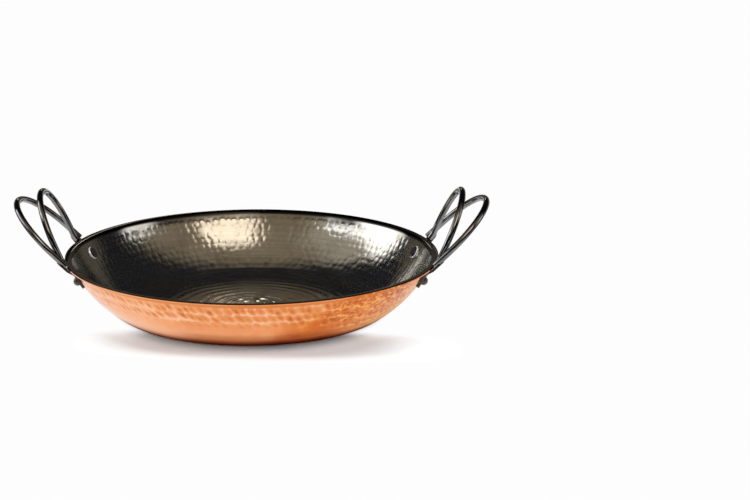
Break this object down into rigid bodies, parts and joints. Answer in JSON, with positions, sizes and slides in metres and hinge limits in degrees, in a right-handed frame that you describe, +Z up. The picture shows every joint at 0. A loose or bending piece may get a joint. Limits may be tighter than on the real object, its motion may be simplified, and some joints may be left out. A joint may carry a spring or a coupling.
{
  "type": "two-handled copper skillet",
  "caption": "Round tin-lined copper skillet with a flat base, a curved flaring wall, a narrow lip and a pair of double-loop steel rod handles riveted on through flat tabs.",
  "frame": {"origin": "centre of the flat base, on the face the pan stands on", "axes": "+Z up; X through both handles; the picture looks along +Y from the front"},
  "size_m": [0.4182, 0.33, 0.108],
  "materials": {
    "copper": "polished, hammered",
    "tin": "satin, hammered",
    "steel": "polished"
  },
  "bodies": {
    "root": {"pan_shell": "copper", "tin_lining": "tin", "left_upright_loop": "steel", "left_outer_loop": "steel", "left_front_tab": "steel", "left_rear_tab": "steel", "left_front_rivet": "steel", "left_rear_rivet": "steel", "right_upright_loop": "steel", "right_outer_loop": "steel", "right_front_tab": "steel", "right_rear_tab": "steel", "right_front_rivet": "steel", "right_rear_rivet": "steel"}
  },
  "joints": []
}
